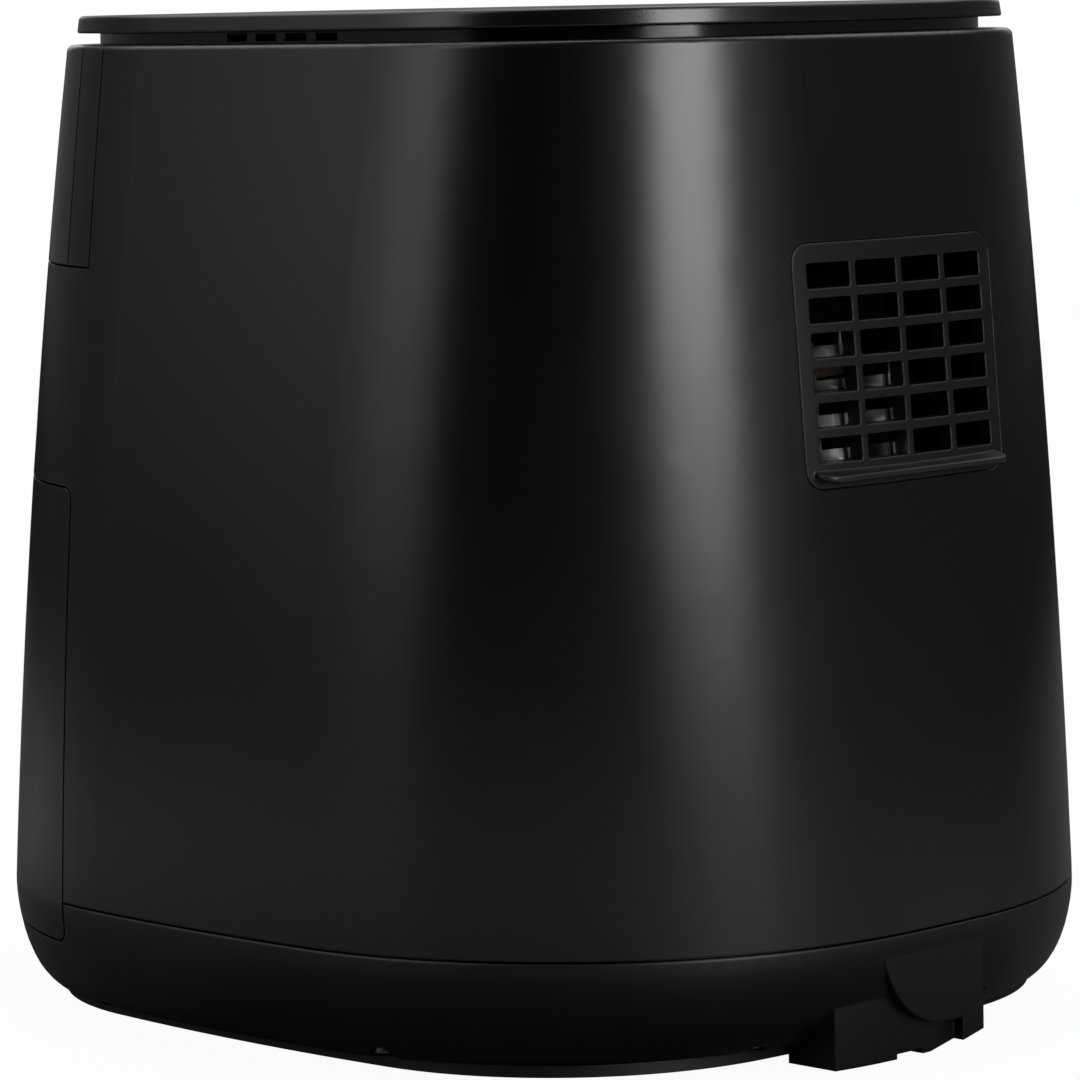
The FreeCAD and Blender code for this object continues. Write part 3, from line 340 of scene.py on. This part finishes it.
# Studio walls: brightness by azimuth, of the lit upper walls, of the ceiling behind and of the whole room
wall_light = (
    (-180, 0.0), (-160, 0.0), (-146, 0.9), (-128, 0.9), (-114, 0.0), (-75, 0.0), (-60, 0.08),
    (-45, 0.35), (-35, 0.55), (-27, 0.9), (-18, 1.5), (-8, 1.5), (-4, 0.9), (-1, 0.0),
    (90, 0.0), (95, 0.5), (112, 0.3), (125, 0.0), (180, 0.0),
)
ceiling_light = ((-180, 1.6), (-70, 1.6), (-40, 0.0), (135, 0.0), (165, 1.6), (180, 1.6))
room_light = ((-180, 0.09), (-70, 0.12), (-40, 0.17), (-8, 0.2), (0, 0.0), (62, 0.0), (95, 0.13), (180, 0.09))
wall_rise = (0.0, 7.0)
ceiling_rise = (25.0, 45.0)

# Studio floor: its half width, shade, roughness and share of plain white for the camera
floor_reach = 6.0
floor_shade = 0.8
floor_roughness = 0.9
floor_glow = 0.955

# Painted light and shade in the floor's colour for all but camera rays, by azimuth: close by and further out,
# where each ends and what is left beyond
near_painted_light = (
    (-180, 0.13), (-100, 0.13), (-82, 0.1), (-10, 0.08), (0, 0.05),
    (62, 0.05), (85, 0.08), (125, 0.12), (150, 0.13), (180, 0.13),
)
outer_painted_light = ((-180, 0.13), (-95, 0.13), (-75, 0.35), (125, 0.35), (145, 0.13), (180, 0.13))
near_reach = (0.28, 0.5)
outer_reach = (0.8, 1.5)
distant_share = 0.15


def place_lamp(name, azimuth, elevation, distance, width, height, roll, power):
    """Soft lamp of a given size that faces the object."""
    data = bpy.data.lights.new(name, "AREA")
    data.shape = "RECTANGLE"
    data.size = width
    data.size_y = height
    data.energy = power
    lamp = bpy.data.objects.new(name, data)
    bpy.context.scene.collection.objects.link(lamp)
    spot = lamp_target + direction(azimuth, elevation) * distance
    turn = (lamp_target - spot).to_track_quat("-Z", "Y").to_matrix().to_4x4()
    lamp.matrix_world = Matrix.Translation(spot) @ turn @ Matrix.Rotation(math.radians(roll), 4, "Z")


def by_azimuth(nt, azimuth, levels):
    """Brightness along the azimuth, from a list of angles and levels."""
    peak = max(level for angle, level in levels)
    stops = [((angle + 180) / 360, (level / peak, level / peak, level / peak, 1)) for angle, level in levels]
    scaled = nt.add("ShaderNodeMath", operation="MULTIPLY")
    scaled.inputs[1].default_value = peak
    nt.join(ramp(nt, azimuth, stops), scaled.inputs[0])
    return scaled.outputs["Value"]


def bearing(nt, axes):
    """Azimuth of a direction or a place, as a factor."""
    angle = nt.add("ShaderNodeMath", operation="ARCTAN2")
    nt.join(axes.outputs["Y"], angle.inputs[0])
    nt.join(axes.outputs["X"], angle.inputs[1])
    return remap(nt, angle.outputs["Value"], (-math.pi, math.pi)).outputs["Result"]


def light_room():
    """Room that is dark towards the camera and lit at the sides; the camera itself sees plain white."""
    world = bpy.data.worlds.new("studio")
    bpy.context.scene.world = world
    world.use_nodes = True
    world.node_tree.nodes.clear()
    nt = Nodes(world.node_tree)
    place = nt.add("ShaderNodeTexCoord")
    axes = nt.add("ShaderNodeSeparateXYZ")
    nt.join(place.outputs["Generated"], axes.inputs["Vector"])
    azimuth = bearing(nt, axes)
    level = by_azimuth(nt, azimuth, room_light)
    for levels, heights in ((wall_light, wall_rise), (ceiling_light, ceiling_rise)):
        sines = [math.sin(math.radians(height)) for height in heights]
        rise = remap(nt, axes.outputs["Z"], sines, smooth=True)
        total = nt.add("ShaderNodeMath", operation="MULTIPLY_ADD")
        nt.join(by_azimuth(nt, azimuth, levels), total.inputs[0])
        nt.join(rise.outputs["Result"], total.inputs[1])
        nt.join(level, total.inputs[2])
        level = total.outputs["Value"]
    room = nt.add("ShaderNodeBackground")
    nt.join(level, room.inputs["Strength"])
    white = nt.add("ShaderNodeBackground")
    path = nt.add("ShaderNodeLightPath")
    seen = nt.add("ShaderNodeMath", operation="MAXIMUM")
    nt.join(path.outputs["Is Camera Ray"], seen.inputs[0])
    nt.join(path.outputs["Is Transmission Ray"], seen.inputs[1])
    for background in (room, white):
        background.inputs["Color"].default_value = (1, 1, 1, 1)
    mix = nt.add("ShaderNodeMixShader")
    nt.join(seen.outputs["Value"], mix.inputs["Fac"])
    nt.join(room.outputs["Background"], mix.inputs[1])
    nt.join(white.outputs["Background"], mix.inputs[2])
    output = nt.add("ShaderNodeOutputWorld")
    nt.join(mix.outputs["Shader"], output.inputs["Surface"])


def lay_floor():
    """Pale floor, white where the camera sees it, that still takes the object's shadow; for other rays its
    colour is painted light and shade by azimuth and distance.
    """
    mesh = bpy.data.meshes.new("floor")
    signs = ((-1, -1), (1, -1), (1, 1), (-1, 1))
    corners = [(x * floor_reach, y * floor_reach, 0) for x, y in signs]
    mesh.from_pydata(corners, [], [(0, 1, 2, 3)])
    floor = bpy.data.objects.new("floor", mesh)
    bpy.context.scene.collection.objects.link(floor)
    material, nt, shader = new_material("pale_floor")
    shader.inputs["Base Color"].default_value = (floor_shade, floor_shade, floor_shade, 1)
    shader.inputs["Roughness"].default_value = floor_roughness
    glow = nt.add("ShaderNodeEmission")
    pale = nt.add("ShaderNodeMixShader")
    pale.inputs["Fac"].default_value = floor_glow
    nt.join(shader.outputs["BSDF"], pale.inputs[1])
    nt.join(glow.outputs["Emission"], pale.inputs[2])
    place = nt.add("ShaderNodeTexCoord")
    axes = nt.add("ShaderNodeSeparateXYZ")
    nt.join(place.outputs["Object"], axes.inputs["Vector"])
    away = nt.add("ShaderNodeVectorMath", operation="LENGTH")
    nt.join(place.outputs["Object"], away.inputs[0])
    azimuth = bearing(nt, axes)
    # Painted light and shade: the floor's colour for other rays is set by azimuth and by distance from the
    # object
    painted_spread = remap(nt, away.outputs["Value"], near_reach, smooth=True)
    nt.join(by_azimuth(nt, azimuth, near_painted_light), painted_spread.inputs["To Min"])
    nt.join(by_azimuth(nt, azimuth, outer_painted_light), painted_spread.inputs["To Max"])
    fade = remap(nt, away.outputs["Value"], outer_reach, (1.0, distant_share), smooth=True)
    painted_floor_light = nt.add("ShaderNodeMath", operation="MULTIPLY")
    nt.join(painted_spread.outputs["Result"], painted_floor_light.inputs[0])
    nt.join(fade.outputs["Result"], painted_floor_light.inputs[1])
    painted_floor_bsdf = nt.add("ShaderNodeBsdfDiffuse")
    nt.join(painted_floor_light.outputs["Value"], painted_floor_bsdf.inputs["Color"])
    path = nt.add("ShaderNodeLightPath")
    mix = nt.add("ShaderNodeMixShader")
    nt.join(path.outputs["Is Camera Ray"], mix.inputs["Fac"])
    nt.join(painted_floor_bsdf.outputs["BSDF"], mix.inputs[1])
    nt.join(pale.outputs["Shader"], mix.inputs[2])
    output = next(node for node in nt.tree.nodes if node.type == "OUTPUT_MATERIAL")
    nt.join(mix.outputs["Shader"], output.inputs["Surface"])
    mesh.materials.append(material)


place_camera()
dress()
for name, values in lamps.items():
    place_lamp(name, *values)
light_room()
lay_floor()
bpy.context.scene.view_settings.view_transform = "Standard"
